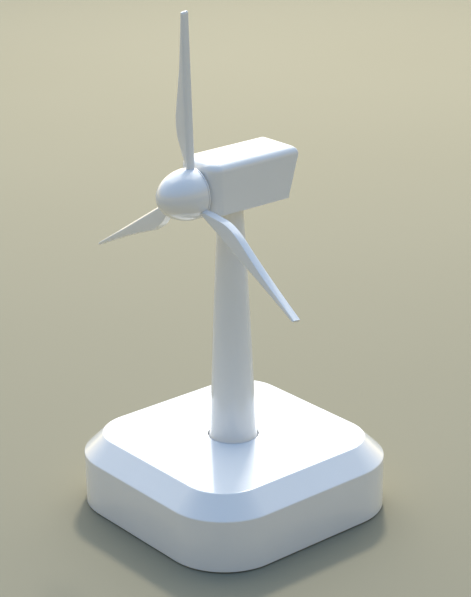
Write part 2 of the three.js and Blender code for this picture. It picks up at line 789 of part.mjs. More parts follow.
function makeHubCore() {
  const rooms = [];
  around(BLADE_COUNT, (n, angle) => {
    rooms.push(rootRoom(angle, shankRoot - GAP, 16), hubScrewHole(angle, hubHoleR, coreFront - 1, 0));
  });
  return cut(turnedY(ringProfile(SHAFT_R + FIT, coreR, coreFront, coreBack), 30), ...rooms);
}

function makeBackPlate() {
  const holes = [];
  around(BLADE_COUNT, (n, angle) => holes.push(hubScrewHole(angle, hubHoleR, -24, -20)));
  return cut(turnedY(ringProfile(SHAFT_R + FIT, SPINNER_R, plateFront, plateBack), 30), ...holes);
}

function hubScrew(angle) {
  const head = coreFront - TOUCH;
  const tip = plateBack - TOUCH;
  const [headR, shankR] = [1.7, 0.85];
  const profile = [[0, head - 1], [headR, head - 1], [headR, head], [shankR, head], [shankR, tip], [0, tip]];
  const screw = turnedY(profile, 10).translate(0, 0, hubScrewR);
  return turnRotor(screw, angle + hubScrewTurn);
}

place(rotorGroup, 'spinner', makeSpinner(), whitePlastic);
around(BLADE_COUNT, (n, angle) => {
  place(rotorGroup, `blade_${n}`, makeBlade(angle), whitePlastic);
  place(rotorGroup, `hub_screw_${n}`, hubScrew(angle), steel);
});
place(rotorGroup, 'hub_core', makeHubCore(), innerPlastic);
place(rotorGroup, 'hub_back_plate', makeBackPlate(), whitePlastic);

const nutFront = coreFront - 2.4;
const hubNutFlats = 5.5;
place(rotorGroup, 'hub_nut', cut(
  toSolid(extruded(hexagon(hubNutFlats), coreFront - TOUCH - nutFront, 1)
    .rotateX(Math.PI / 2)
    .translate(0, coreFront - TOUCH, AXIS_Z)),
  turnedY(discProfile(SHAFT_R + FIT, nutFront - 1, coreFront + 1)),
), brass);

const shaftEnd = -12.3;
const couplingY = [-14.6, -9.8];
const couplingR = 3;
place(rotorGroup, 'rotor_shaft', turnedY(discProfile(SHAFT_R, nutFront - 1, shaftEnd), 20), darkSteel);
place(rotorGroup, 'bearing_inner_race', turnedY(
  ringProfile(SHAFT_R + FIT, innerRaceR, bearingFront, bearingRear), 20,
), steel);
place(rotorGroup, 'shaft_coupling', turnedY([
  [SHAFT_R + FIT, couplingY[0]],
  [couplingR, couplingY[0]],
  [couplingR, couplingY[1]],
  [GENERATOR_SHAFT_R + FIT, couplingY[1]],
  [GENERATOR_SHAFT_R + FIT, shaftEnd + FIT],
  [SHAFT_R + FIT, shaftEnd + FIT],
  [SHAFT_R + FIT, couplingY[0]],
]), brass);
place(rotorGroup, 'generator_shaft', turnedY(
  discProfile(GENERATOR_SHAFT_R, shaftEnd + 0.3, GENERATOR_REAR + 1), 16,
), darkSteel);
place(rotorGroup, 'magnet_core', turnedY(
  ringProfile(GENERATOR_SHAFT_R + FIT, magnetR, magnetFront, capFront - 1.5), 24,
), darkSteel);

export default turbine;
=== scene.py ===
"""A small wind turbine for a desk, in white glossy plastic.

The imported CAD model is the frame. This script builds the fine visible mouldings around it, gives every
CAD node that still shows a procedural material, and sets the floor, the lights and the camera.
Lengths in the tables below are millimetres and become metres in MM. +Z is up and the rotor faces -Y.
"""
import json
import math

import bmesh
import bpy
from mathutils import Matrix, Vector


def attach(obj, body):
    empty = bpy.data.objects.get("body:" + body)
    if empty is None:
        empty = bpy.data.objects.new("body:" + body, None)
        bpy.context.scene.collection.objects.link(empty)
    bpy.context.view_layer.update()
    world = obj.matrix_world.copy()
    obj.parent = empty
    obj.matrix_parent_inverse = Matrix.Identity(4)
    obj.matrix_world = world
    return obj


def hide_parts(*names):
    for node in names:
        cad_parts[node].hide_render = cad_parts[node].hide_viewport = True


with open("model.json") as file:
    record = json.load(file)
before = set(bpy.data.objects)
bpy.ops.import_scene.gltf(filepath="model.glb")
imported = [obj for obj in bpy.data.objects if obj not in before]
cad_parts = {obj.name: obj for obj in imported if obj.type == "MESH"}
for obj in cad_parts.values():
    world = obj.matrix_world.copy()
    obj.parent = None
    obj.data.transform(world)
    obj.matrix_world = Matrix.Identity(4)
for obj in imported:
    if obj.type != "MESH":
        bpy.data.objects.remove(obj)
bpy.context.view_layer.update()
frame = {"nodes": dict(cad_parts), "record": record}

MM = 0.001

# ---- Driving dimensions, in millimetres, the same as the CAD's ----

BASE_SIDE, BASE_RADIUS, BASE_TOP = 120.0, 30.0, 35.6
BASE_CHAMFER, BASE_LIFT, BASE_WALL = 9.4, 0.5, 2.4
COUNTERBORE_R, COUNTERBORE_FLOOR, SPIGOT_HOLE_R = 12.25, 33.5, 9.2
TOP_BORDER = 6.0    # the base's top has a ring of points this far from each of its edges
SOCKET_Z, SOCKET_HALF_W, SOCKET_HALF_H = 15.1, 5.0, 2.1
SOCKET_CUT = (55.0, 62.0)    # its opening is cut from inside the rear wall to outside it

TOWER_FOOT_R, TOWER_TOP_R, TOWER_BULGE, TOWER_TOP = 11.1, 5.9, 0.35, 151.4
TOWER_FLARE, TOWER_FLARE_HEIGHT = 0.6, 1.4
FOOT_CROWDING = 1.6    # how much closer together the tower's rings are near its foot
FLANGE_R, FLANGE_TOP, FLANGE_THICK = 11.85, 35.5, 1.9
MOUTH_R, MOUTH_FLOOR, TOWER_BORE_R = 4.6, 145.0, 3.0
WASHER_BORE_R, WASHER_GAP, WASHER_INSET = 3.1, 0.1, 0.2

AXIS_Z = 161.3
NACELLE_HALF_W, NACELLE_BOTTOM, NACELLE_TOP = 12.9, 152.2, 175.7
NACELLE_FRONT, NACELLE_REAR_LOW, NACELLE_REAR_HIGH = -20.2, 24.5, 31.4
ROOF_ROUND, FRONT_ROUND, SMALL_ROUND = 4.0, 6.2, 0.5
NACELLE_WALL, SHAFT_HOLE_R = 1.8, 2.2
SHAFT_HOLE_CUT = (NACELLE_FRONT - 1.0, NACELLE_FRONT + 4.0)

SPINNER_R, SPINNER_WALL, SPINNER_SHOULDER, SPINNER_NOSE = 11.9, 1.5, -24.6, -40.8
DOME_POWER = 1.85    # 2 would be an ellipse, and less is more pointed
PLATE_FRONT, PLATE_BACK, PLATE_BORE_R = -21.6, -20.9, 1.65

ROTOR_R, BLADE_FRONT, BLADE_BACK = 82.3, -25.7, -21.7
BLADE_NECK = SPINNER_R + 0.2    # where a blade leaves the spinner
SHANK_TRAIL, SHANK_LEAD, SHANK_ROOT = -0.9, 1.85, 4.5
BELLY_START, BELLY, BELLY_R = -6.3, -7.8, 33.5
TIP_TRAIL, TIP_LEAD, TIP_SLOPE = -2.05, -0.45, 0.6
TIP_ROUND, TIP_CORNER, TIP_SHRINK = 0.3, 1.0, 0.22
TIP_CROWDING = 1.8    # how much closer together a blade's sections are near its tip
# How far the front of a blade stands in from its two edges and back from the foremost plane.
TRAIL_BEVEL, LEAD_BEVEL, LEAD_ROUND = (0.75, 0.7), (1.0, 0.2), (0.1, 1.4)
FULL_CHORD = 5.0    # the bevels are smaller where a blade is narrower than this
# The spinner's slots follow the blades' section at these radii, with a little room all round.
SLOT_STATIONS, SLOT_SPARE = (8.0, BLADE_NECK, 13.5, 15.0), 0.07
# The trailing edge of a blade, as cubic curves of (radius, distance from the blade's centre line).
TRAIL_CURVES = (
    ((BLADE_NECK, SHANK_TRAIL), (16, -2.8), (20, -4.7), (24, BELLY_START)),
    ((24, BELLY_START), (27, -7.4), (29.5, BELLY), (BELLY_R, BELLY)),
    ((BELLY_R, BELLY), (39, BELLY), (47, -4.9), (ROTOR_R, TIP_TRAIL)),
)


# ---- Outlines ----

def filleted(points, radii, steps=5, closed=False):
    """The polyline with each corner rounded to its radius; an open line keeps its two end points."""
    path = []
    count = len(points)
    for i, (point, radius) in enumerate(zip(points, radii)):
        here = Vector(point)
        at_end = not closed and i in (0, count - 1)
        if at_end or radius <= 0:
            path.append(tuple(here))
            continue
        before = (Vector(points[i - 1]) - here).normalized()
        after = (Vector(points[(i + 1) % count]) - here).normalized()
        half_angle = before.angle(after) / 2
        reach = radius / math.tan(half_angle)
        centre = here + (before + after).normalized() * (radius / math.sin(half_angle))
        start = here + before * reach - centre
        sweep = (here + after * reach - centre).angle_signed(start)
        for k in range(steps + 1):
            turn = Matrix.Rotation(sweep * k / steps, 2)
            path.append(tuple(centre + turn @ start))
    return path


def rounded_square(half, radius, corner_steps=20, side_steps=4):
    """Points round a square with round corners, anticlockwise, always the same number."""
    flat = half - radius
    ring = []
    for corner in range(4):
        first = math.radians(90 * corner)
        cx = flat * (1 if corner in (0, 3) else -1)
        cy = flat * (1 if corner in (0, 1) else -1)
        arc = []
        for k in range(corner_steps + 1):
            angle = first + math.pi / 2 * k / corner_steps
            arc.append(Vector((cx + radius * math.cos(angle), cy + radius * math.sin(angle))))
        ring += arc
        turn = first + math.pi / 2
        along = Vector((-math.sin(turn), math.cos(turn)))
        for k in range(1, side_steps):
            ring.append(arc[-1] + along * (2 * flat * k / side_steps))
    return ring


def bezier(p0, p1, p2, p3, t):
    """A point on a cubic curve."""
    s = 1 - t
    return tuple(s ** 3 * a + 3 * s * s * t * b + 3 * s * t * t * c + t ** 3 * d
                 for a, b, c, d in zip(p0, p1, p2, p3))


# ---- Mesh building ----

def finish_mesh(name, bm, sharp_deg=40.0, weighted=False):
    """Makes an object of the bmesh, smooth except across edges sharper than the angle."""
    bmesh.ops.recalc_face_normals(bm, faces=bm.faces)
    for face in bm.faces:
        face.smooth = True
    for edge in bm.edges:
        flat = len(edge.link_faces) == 2 and edge.calc_face_angle(0) < math.radians(sharp_deg)
        edge.smooth = flat
    mesh = bpy.data.meshes.new(name)
    bm.to_mesh(mesh)
    bm.free()
    piece = bpy.data.objects.new(name, mesh)
    bpy.context.scene.collection.objects.link(piece)
    if weighted:
        weigh = piece.modifiers.new("even_normals", "WEIGHTED_NORMAL")
        weigh.keep_sharp = True
        weigh.weight = 100
    return piece


def loft(rings, closed=False, caps=False):
    """A bmesh whose skin joins equal rings of points; a ring of one point is a pole."""
    bm = bmesh.new()
    rows = [[bm.verts.new(Vector(p) * MM) for p in ring] for ring in rings]
    pairs = list(zip(rows, rows[1:]))
    if closed:
        pairs.append((rows[-1], rows[0]))
    for low, high in pairs:
        count = max(len(low), len(high))
        for i in range(count):
            j = (i + 1) % count
            if len(low) == 1:
                bm.faces.new((low[0], high[j], high[i]))
            elif len(high) == 1:
                bm.faces.new((low[i], low[j], high[0]))
            else:
                bm.faces.new((low[i], low[j], high[j], high[i]))
    if caps:
        bm.faces.new(rows[0])
        bm.faces.new(rows[-1])
    return bm


def turned(profile, segments, axis="Z", closed=True):
    """A solid of revolution of (radius, height) points about Z, or about the rotor's axis."""
    rings = []
    for radius, height in profile:
        count = 1 if radius < 1e-6 else segments
        ring = []
        for k in range(count):
            angle = 2 * math.pi * k / segments
            across, up = radius * math.cos(angle), radius * math.sin(angle)
            ring.append((across, up, height) if axis == "Z" else (across, height, AXIS_Z + up))
        rings.append(ring)
    return loft(rings, closed=closed)


def carve(piece, cutter_bm):
    """Cuts a shape out of a piece and throws the cutter away."""
    cutter = finish_mesh(piece.name + "_cutter", cutter_bm)
    step = piece.modifiers.new("carve", "BOOLEAN")
    step.operation = "DIFFERENCE"
    step.solver = "EXACT"
    step.object = cutter
    graph = bpy.context.evaluated_depsgraph_get()
    carved = bpy.data.meshes.new_from_object(piece.evaluated_get(graph))
    piece.modifiers.clear()
    old = piece.data
    piece.data = carved
    carved.name = piece.name
    bpy.data.meshes.remove(old)
    bpy.data.objects.remove(cutter)


def reshade(piece, weighted=False):
    """Makes the piece again from its own mesh, so its shading follows its new edges."""
    bm = bmesh.new()
    bm.from_mesh(piece.data)
    name = piece.name
    bpy.data.objects.remove(piece)
    return finish_mesh(name, bm, weighted=weighted)


def settle(piece, body, slot, *nodes):
    """Puts the piece on the body that it moves with, gives it its material and hides the CAD nodes that
    it stands for.
    """
    piece.data.materials.clear()
    piece.data.materials.append(MATERIALS[slot])
    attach(piece, body)
    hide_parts(*nodes)


# ---- Materials ----

class Nodes:
    """A new material's node tree, with short calls for the nodes that the materials here use."""

    def __init__(self, name):
        self.material = bpy.data.materials.new(name)
        self.material.use_nodes = True
        self.tree = self.material.node_tree
        self.shader = self.tree.nodes["Principled BSDF"]
        self.place = self.new("ShaderNodeTexCoord").outputs["Object"]

    def new(self, kind, **settings):
        node = self.tree.nodes.new(kind)
        for key, value in settings.items():
            setattr(node, key, value)
        return node

    def link(self, source, target):
        self.tree.links.new(source, target)

    def set(self, **sockets):
        for key, value in sockets.items():
            self.shader.inputs[key.replace("_", " ")].default_value = value

    def noise(self, scale, detail=3.0, stretch=(1, 1, 1)):
        """Noise of so many features per metre, stretched along the axes."""
        mapping = self.new("ShaderNodeMapping")
        mapping.inputs["Scale"].default_value = stretch
        self.link(self.place, mapping.inputs["Vector"])
        noise = self.new("ShaderNodeTexNoise")
        noise.inputs["Scale"].default_value = scale
        noise.inputs["Detail"].default_value = detail
        self.link(mapping.outputs["Vector"], noise.inputs["Vector"])
        return noise.outputs["Fac"]

    def ramp(self, value, low, high, socket):
        """Feeds a socket with a number that goes from low to high as the value does."""
        spread = self.new("ShaderNodeMapRange")
        spread.inputs["From Min"].default_value = 0.3
        spread.inputs["From Max"].default_value = 0.7
        spread.inputs["To Min"].default_value = low
        spread.inputs["To Max"].default_value = high
        self.link(value, spread.inputs["Value"])
        self.link(spread.outputs["Result"], self.shader.inputs[socket])

    def tint(self, value, dark, light):
        """Mixes the base colour between two colours by a value."""
        mix = self.new("ShaderNodeMix", data_type="RGBA")
        mix.inputs["A"].default_value = (*dark, 1)
        mix.inputs["B"].default_value = (*light, 1)
        self.link(value, mix.inputs["Factor"])
        self.link(mix.outputs["Result"], self.shader.inputs["Base Color"])

    def bump(self, value, height_mm):
        """Raises the surface by so many millimetres where the value is one."""
        bump = self.new("ShaderNodeBump")
        bump.inputs["Strength"].default_value = 1.0
        bump.inputs["Distance"].default_value = height_mm * MM
        self.link(value, bump.inputs["Height"])
        self.link(bump.outputs["Normal"], self.shader.inputs["Normal"])


def shade(colour, factor):
    return tuple(min(1.0, channel * factor) for channel in colour)


def moulded(name, colour, rough, grain_mm, coat=0.0):
    """Moulded plastic: faint mottling, slightly uneven gloss and a fine orange-peel surface."""
    nodes = Nodes(name)
    cloud = nodes.noise(38, 4)
    nodes.tint(cloud, shade(colour, 0.965), shade(colour, 1.02))
    nodes.ramp(nodes.noise(90, 3), rough * 0.85, rough * 1.2, "Roughness")
    nodes.bump(nodes.noise(1400, 2), grain_mm)
    nodes.set(Coat_Weight=coat, Coat_Roughness=0.05, IOR=1.55)
    return nodes.material


def metal(name, colour, rough, stretch=(1, 1, 1)):
    """Machined or drawn metal: fine lines along one way and uneven gloss."""
    nodes = Nodes(name)
    lines = nodes.noise(900, 3, stretch)
    nodes.tint(lines, shade(colour, 0.82), shade(colour, 1.1))
    nodes.ramp(nodes.noise(160, 3), rough * 0.75, rough * 1.3, "Roughness")
    nodes.bump(lines, 0.006)
    nodes.set(Metallic=1.0)
    return nodes.material


def rubber_skin(name, colour):
    """Matt rubber with a pebbled surface and dusty patches."""
    nodes = Nodes(name)
    pebbles = nodes.noise(2200, 2)
    nodes.tint(nodes.noise(150, 4), shade(colour, 0.8), shade(colour, 1.7))
    nodes.ramp(nodes.noise(300, 2), 0.7, 0.92, "Roughness")
    nodes.bump(pebbles, 0.05)
    return nodes.material


def winding(name, colour):
    """Enamelled wire: close turns drawn as bands."""
    nodes = Nodes(name)
    wave = nodes.new("ShaderNodeTexWave", wave_type="BANDS", bands_direction="Y")
    wave.inputs["Scale"].default_value = 1300
    wave.inputs["Distortion"].default_value = 0.4
    nodes.link(nodes.place, wave.inputs["Vector"])
    nodes.tint(wave.outputs["Fac"], shade(colour, 0.35), shade(colour, 1.2))
    nodes.bump(wave.outputs["Fac"], 0.12)
    nodes.ramp(nodes.noise(200, 2), 0.25, 0.4, "Roughness")
    nodes.set(Metallic=0.8)
    return nodes.material


def solder_mask(name, colour):
    """Circuit board: green mask over faintly raised tracks."""
    nodes = Nodes(name)
    tracks = nodes.new("ShaderNodeTexBrick")
    tracks.inputs["Scale"].default_value = 260
    tracks.inputs["Mortar Size"].default_value = 0.03
    nodes.link(nodes.place, tracks.inputs["Vector"])
    nodes.tint(tracks.outputs["Fac"], colour, shade(colour, 2.2))
    nodes.bump(tracks.outputs["Fac"], 0.04)
    nodes.ramp(nodes.noise(300, 2), 0.3, 0.45, "Roughness")
    return nodes.material


WHITE = (0.80, 0.80, 0.79)
MATERIALS = {
    "white_plastic": moulded("white_plastic", WHITE, 0.2, 0.004, coat=1.0),
    "inner_plastic": moulded("inner_plastic", (0.56, 0.565, 0.56), 0.48, 0.012),
    "black_plastic": moulded("black_plastic", (0.02, 0.02, 0.022), 0.42, 0.012),
    "nylon": moulded("nylon", (0.72, 0.69, 0.6), 0.45, 0.01),
    "cell_wrap": moulded("cell_wrap", (0.06, 0.17, 0.33), 0.3, 0.003, coat=0.3),
    "cable_skin": moulded("cable_skin", (0.035, 0.037, 0.04), 0.5, 0.01),
    "rubber": rubber_skin("rubber", (0.03, 0.03, 0.032)),
    "steel": metal("steel", (0.55, 0.56, 0.58), 0.32, (1, 1, 0.1)),
    "dark_steel": metal("dark_steel", (0.16, 0.165, 0.17), 0.42),
    "brass": metal("brass", (0.62, 0.43, 0.17), 0.3, (1, 1, 0.1)),
    "copper": winding("copper", (0.6, 0.27, 0.12)),
    "circuit_board": solder_mask("circuit_board", (0.015, 0.1, 0.045)),
}


# ---- Base cover ----

def stadium_bar(half_w, half_h, front, rear, z, end_steps=32):
    """A bar along Y with a stadium section."""
    flat = half_w - half_h
    section = []
    for middle, first in ((flat, -math.pi / 2), (-flat, math.pi / 2)):
        for k in range(end_steps + 1):
            angle = first + math.pi * k / end_steps
            section.append((middle + half_h * math.cos(angle), half_h * math.sin(angle)))
    rings = [[(x, y, z + up) for x, up in section] for y in (front, rear)]
    return loft(rings, caps=True)


def make_base_cover():
    half = BASE_SIDE / 2
    inner_chamfer = BASE_CHAMFER - BASE_WALL / 2
    ceiling = BASE_TOP - BASE_WALL
    # Each point is the inset from the outside and the height, round the wall's section.
    outside = filleted(
        [
            (BASE_CHAMFER + TOP_BORDER, BASE_TOP),
            (BASE_CHAMFER, BASE_TOP),
            (0, BASE_TOP - BASE_CHAMFER),
            (0, BASE_LIFT),
            (BASE_WALL, BASE_LIFT),
            (BASE_WALL, ceiling - inner_chamfer),
            (BASE_WALL + inner_chamfer, ceiling),
            (BASE_CHAMFER + TOP_BORDER, ceiling),
        ],
        [0, 1.0, 1.0, 0.6, 0.3, 0.5, 0.5, 0],
        steps=6,
    )
    squares = [[(p.x, p.y, z) for p in rounded_square(half - inset, BASE_RADIUS - inset)]
               for inset, z in outside]
    angles = [math.atan2(y, x) for x, y, _ in squares[0]]

    def circle(radius, z):
        return [(radius * math.cos(a), radius * math.sin(a), z) for a in angles]

    hole = filleted(
        [
            (COUNTERBORE_R + TOP_BORDER, BASE_TOP),
            (COUNTERBORE_R, BASE_TOP),
            (COUNTERBORE_R, COUNTERBORE_FLOOR),
            (SPIGOT_HOLE_R, COUNTERBORE_FLOOR),
            (SPIGOT_HOLE_R, ceiling),
        ],
        [0, 0.1, 0.2, 0.2, 0],
        steps=3,
    )
    circles = [circle(radius, z) for radius, z in reversed(hole)]
    return finish_mesh("base_cover_moulding", loft(circles + squares, closed=True))


base = make_base_cover()
carve(base, stadium_bar(SOCKET_HALF_W, SOCKET_HALF_H, *SOCKET_CUT, SOCKET_Z))
base = reshade(base, weighted=True)
settle(base, "base", "white_plastic", "base_cover")


# ---- Tower ----

def tower_radius(t):
    return TOWER_FOOT_R + (TOWER_TOP_R - TOWER_FOOT_R) * t + 4 * TOWER_BULGE * t * (1 - t)


def make_tower():
    steps = 48
    foot = FLANGE_TOP - FLANGE_THICK
    taper = []
    for k in range(steps + 1):
        t = (k / steps) ** FOOT_CROWDING
        z = FLANGE_TOP + (TOWER_TOP - FLANGE_TOP) * t
        flare = TOWER_FLARE * math.exp(-(z - FLANGE_TOP) / TOWER_FLARE_HEIGHT)
        taper.append((tower_radius(t) + flare, z))
    points = [
        (TOWER_BORE_R, foot),
        (FLANGE_R, foot),
        *taper,
        (MOUTH_R, TOWER_TOP),
        (MOUTH_R, MOUTH_FLOOR),
        (TOWER_BORE_R, MOUTH_FLOOR),
    ]
    radii = [0, 0.2, 0.1, *([0] * (steps - 1)), 0.5, 0.3, 0.2, 0]
    return finish_mesh("tower_moulding", turned(filleted(points, radii, 4), segments=128))


settle(make_tower(), "base", "white_plastic", "tower")


def ring_section(inner, outer, low, high, radii):
    """The section of a flat ring with rounded corners."""
    return filleted([(inner, low), (outer, low), (outer, high), (inner, high)], radii, 3, closed=True)


def make_washer():
    outer = TOWER_TOP_R - WASHER_INSET
    low, high = TOWER_TOP + WASHER_GAP, NACELLE_BOTTOM - WASHER_GAP
    section = ring_section(WASHER_BORE_R, outer, low, high, [0.1] * 4)
    return finish_mesh("yaw_washer_ring", turned(section, segments=96))


settle(make_washer(), "base", "nylon", "yaw_washer")


# ---- Nacelle ----

def round_edges(bm, wanted, radius, segments):
    """Rounds the edges that the test picks."""
    edges = [edge for edge in bm.edges if wanted(edge)]
    bmesh.ops.bevel(bm, geom=edges, offset=radius * MM, segments=segments, profile=0.5, affect="EDGES")


def make_nacelle():
    """The outer skin, open at the bottom."""
    bm = bmesh.new()
    left, right = -NACELLE_HALF_W, NACELLE_HALF_W
    outline = {
        "front_low": (NACELLE_FRONT, NACELLE_BOTTOM),
        "rear_low": (NACELLE_REAR_LOW, NACELLE_BOTTOM),
        "rear_high": (NACELLE_REAR_HIGH, NACELLE_TOP),
        "front_high": (NACELLE_FRONT, NACELLE_TOP),
    }
    corners = {}
    for x in (left, right):
        for name, place in outline.items():
            corners[x, name] = bm.verts.new(Vector((x, *place)) * MM)
    order = tuple(outline)
    for x in (left, right):
        bm.faces.new([corners[x, name] for name in order])
    for here, there in zip(order[1:], (*order[2:], order[0])):
        ring = ((left, here), (right, here), (right, there), (left, there))
        bm.faces.new([corners[key] for key in ring])
    bmesh.ops.recalc_face_normals(bm, faces=bm.faces)

    def on(edge, axis, place):
        return all(abs(vert.co[axis] - place * MM) < 1e-6 for vert in edge.verts)

    def roof(edge):
        return on(edge, 2, NACELLE_TOP)

    def upright_front(edge):
        return on(edge, 1, NACELLE_FRONT) and not roof(edge) and not edge.is_boundary

    def sharp(edge):
        return not edge.is_boundary and edge.calc_face_angle(0) > math.radians(40)

    round_edges(bm, upright_front, FRONT_ROUND, segments=10)
    round_edges(bm, roof, ROOF_ROUND, segments=10)
    round_edges(bm, sharp, SMALL_ROUND, segments=3)
    return finish_mesh("nacelle_moulding", bm)


nacelle = make_nacelle()
skin = nacelle.modifiers.new("wall", "SOLIDIFY")
skin.thickness = NACELLE_WALL * MM
skin.offset = -1
skin.use_even_offset = True
hole_front, hole_rear = SHAFT_HOLE_CUT
shaft_hole = [(0, hole_front), (SHAFT_HOLE_R, hole_front), (SHAFT_HOLE_R, hole_rear), (0, hole_rear)]
carve(nacelle, turned(shaft_hole, segments=64, axis="Y", closed=False))
nacelle = reshade(nacelle, weighted=True)
settle(nacelle, "nacelle", "white_plastic", "nacelle_shell")


# ---- Rotor ----

def blade_trail(r):
    """How far the trailing edge stands from the blade's centre line at that radius."""
    if r <= BLADE_NECK:
        return SHANK_TRAIL
    curve = next((curve for curve in TRAIL_CURVES if r <= curve[3][0]), TRAIL_CURVES[-1])
    low, high = 0.0, 1.0
    for _ in range(30):
        middle = (low + high) / 2
        if bezier(*curve, middle)[0] < r:
            low = middle
        else:
            high = middle
    return bezier(*curve, low)[1]


def blade_lead(r):
    share = max(0.0, (r - BLADE_NECK) / (ROTOR_R - BLADE_NECK))
    return SHANK_LEAD + (TIP_LEAD - SHANK_LEAD) * share


def tip_corner(r):
    """How much the rounded corner at the tip takes off the leading edge."""
    past = max(0.0, r - (ROTOR_R - TIP_CORNER))
    return TIP_CORNER - math.sqrt(max(0.0, TIP_CORNER ** 2 - past ** 2))


def blade_section(r, spare=0.0):
    """The section at a radius, as (across, along the axis): a flat back, a round leading edge, a crisp
    trailing edge and a front that leans back towards it."""
    trail, lead = blade_trail(r) - spare, blade_lead(r) + spare - tip_corner(r)
    chord = lead - trail
    ease = min(1.0, chord / FULL_CHORD)
    points = [
        (trail, BLADE_BACK),
        (trail + TRAIL_BEVEL[0] * ease, BLADE_FRONT + TRAIL_BEVEL[1] - spare),
        (lead - LEAD_BEVEL[0] * ease, BLADE_FRONT + LEAD_BEVEL[1] - spare),
        (lead - LEAD_ROUND[0], BLADE_FRONT + LEAD_ROUND[1]),
        (lead, BLADE_BACK),
    ]
    radii = [min(radius, 0.3 * chord) for radius in (0.2, 0.35, 0.8, 0.9, 0.3)]
    return filleted(points, radii, 4, closed=True)


def blade_ring(r, spare=0.0):
    """One section as points in space; the front of the blade is a little shorter than its back."""
    share = max(0.0, (r - BLADE_NECK) / (ROTOR_R - BLADE_NECK))
    ring = []
    for x, y in blade_section(r, spare):
        forward = (BLADE_BACK - y) / (BLADE_BACK - BLADE_FRONT)
        ring.append((x, y, AXIS_Z + r - TIP_SLOPE * share * forward))
    return ring


def blade_rings(inner_steps=22, outer_steps=40, tip_steps=5):
    """Sections from the root to the tip, closer together towards the tip, which is rounded over."""
    stations = [SHANK_ROOT, SLOT_STATIONS[0], BLADE_NECK - 1.0, BLADE_NECK]
    for k in range(1, inner_steps + 1):
        stations.append(BLADE_NECK + (BELLY_R - BLADE_NECK) * k / inner_steps)
    reach = ROTOR_R - TIP_ROUND - BELLY_R
    for k in range(1, outer_steps + 1):
        stations.append(BELLY_R + reach * (1 - (1 - k / outer_steps) ** TIP_CROWDING))
    rings = [blade_ring(r) for r in stations]
    tip = rings[-1]
    centre = sum((Vector(p) for p in tip), Vector()) / len(tip)
    for k in range(1, tip_steps + 1):
        angle = math.pi / 2 * k / tip_steps
        shrink = TIP_SHRINK * (1 - math.cos(angle))
        rise = Vector((0, 0, TIP_ROUND * math.sin(angle)))
        rings.append([tuple(Vector(p).lerp(centre, shrink) + rise) for p in tip])
    return rings


def turn_rotor(bm, angle):
    centre = Vector((0, 0, AXIS_Z * MM))
    bmesh.ops.rotate(bm, verts=bm.verts, cent=centre, matrix=Matrix.Rotation(angle, 3, "Y"))
    return bm


def dome(radius, length, steps):
    """A dome's half section from its rim to its nose, a little more pointed than an ellipse."""
    power = 2 / DOME_POWER
    points = []
    for k in range(steps + 1):
        angle = math.pi / 2 * k / steps
        across, along = radius * math.cos(angle) ** power, length * math.sin(angle) ** power
        points.append((across, SPINNER_SHOULDER - along))
    points[-1] = (0, SPINNER_SHOULDER - length)
    return points


def spinner_profile():
    steps = 48
    inner_r = SPINNER_R - SPINNER_WALL
    length = SPINNER_SHOULDER - SPINNER_NOSE
    outer = dome(SPINNER_R, length, steps)
    inner = dome(inner_r, length - SPINNER_WALL, steps)
    corners = [outer[0], (SPINNER_R, BLADE_BACK), (inner_r, BLADE_BACK), inner[0]]
    rim = filleted(corners, [0, 0.35, 0.1, 0], 4)
    return [*reversed(outer[1:]), *rim, *inner[1:]]


dome_bm = turned(spinner_profile(), segments=144, axis="Y", closed=False)
spinner = finish_mesh("spinner_moulding", dome_bm)
for number in range(3):
    turn = number * 2 * math.pi / 3
    slot = loft([blade_ring(r, SLOT_SPARE) for r in SLOT_STATIONS], caps=True)
    carve(spinner, turn_rotor(slot, turn))
    blade_bm = turn_rotor(loft(blade_rings(), caps=True), turn)
    blade = finish_mesh(f"blade_{number + 1}_moulding", blade_bm, sharp_deg=38)
    settle(blade, "rotor", "white_plastic", f"blade_{number + 1}")
spinner = reshade(spinner)
settle(spinner, "rotor", "white_plastic", "spinner")

plate_section = ring_section(PLATE_BORE_R, SPINNER_R, PLATE_FRONT, PLATE_BACK, [0.1, 0.15, 0.2, 0.1])
plate = finish_mesh("hub_back_disc", turned(plate_section, segments=144, axis="Y"))
settle(plate, "rotor", "white_plastic", "hub_back_plate")


# ---- Materials of the CAD nodes that still show ----

for part in frame["record"]["subparts"]:
    node = frame["nodes"][part["node"]]
    node.data.materials.clear()
    node.data.materials.append(MATERIALS[part["material_slot"]])


# ---- Stage ----

# Each lamp's name, place and side in metres, power in watts and colour.
LIGHTS = (
    ("overhead", (-0.7, 0.58, 1.4), 2.0, 18, (1.0, 0.94, 0.75)),
    ("key", (-0.87, 0.87, 1.27), 0.18, 20, (1.0, 0.95, 0.85)),
)
LIGHT_AIM = (0, 0, 0.08)
# The sky's colour at each height, from the horizon up.
SKY = (
    (0.0, (1.0, 0.78, 0.30)),
    (0.2, (0.57, 0.48, 0.31)),
    (0.45, (0.35, 0.55, 0.87)),
    (0.74, (0.24, 0.47, 0.86)),
    (0.95, (0.10, 0.33, 0.74)),
)
BACK_PLACE = (-0.72, 0.59, 0.45)    # the way to the middle of the glow
BACK_FLATTEN = 1.8    # the glow is wider than it is high by this factor
# How bright the glow is where its direction makes this cosine with the middle of it.
BACK_GLOW = ((0.24, 0.0), (0.44, 0.11), (0.57, 0.20), (0.78, 0.40), (0.96, 0.93))
BACK_LIGHT = (1.7, 1.64, 1.55)
# The plain backdrop that shows behind the object where the floor ends.
BACKDROP = (0.44, 0.43, 0.4)
FLOOR_DARK, FLOOR_LIGHT = (0.28, 0.255, 0.178), (0.295, 0.27, 0.193)
# The camera's azimuth, elevation and roll in degrees, its distance and lens in millimetres, and what it
# aims at: a height on the tower's axis, moved a little to the right.
CAMERA_TURN, CAMERA_DISTANCE, CAMERA_LENS = (50.359, 21.327, -0.691), 819.7, 105.9
AIM_Z, AIM_RIGHT = 104.9, 1.84


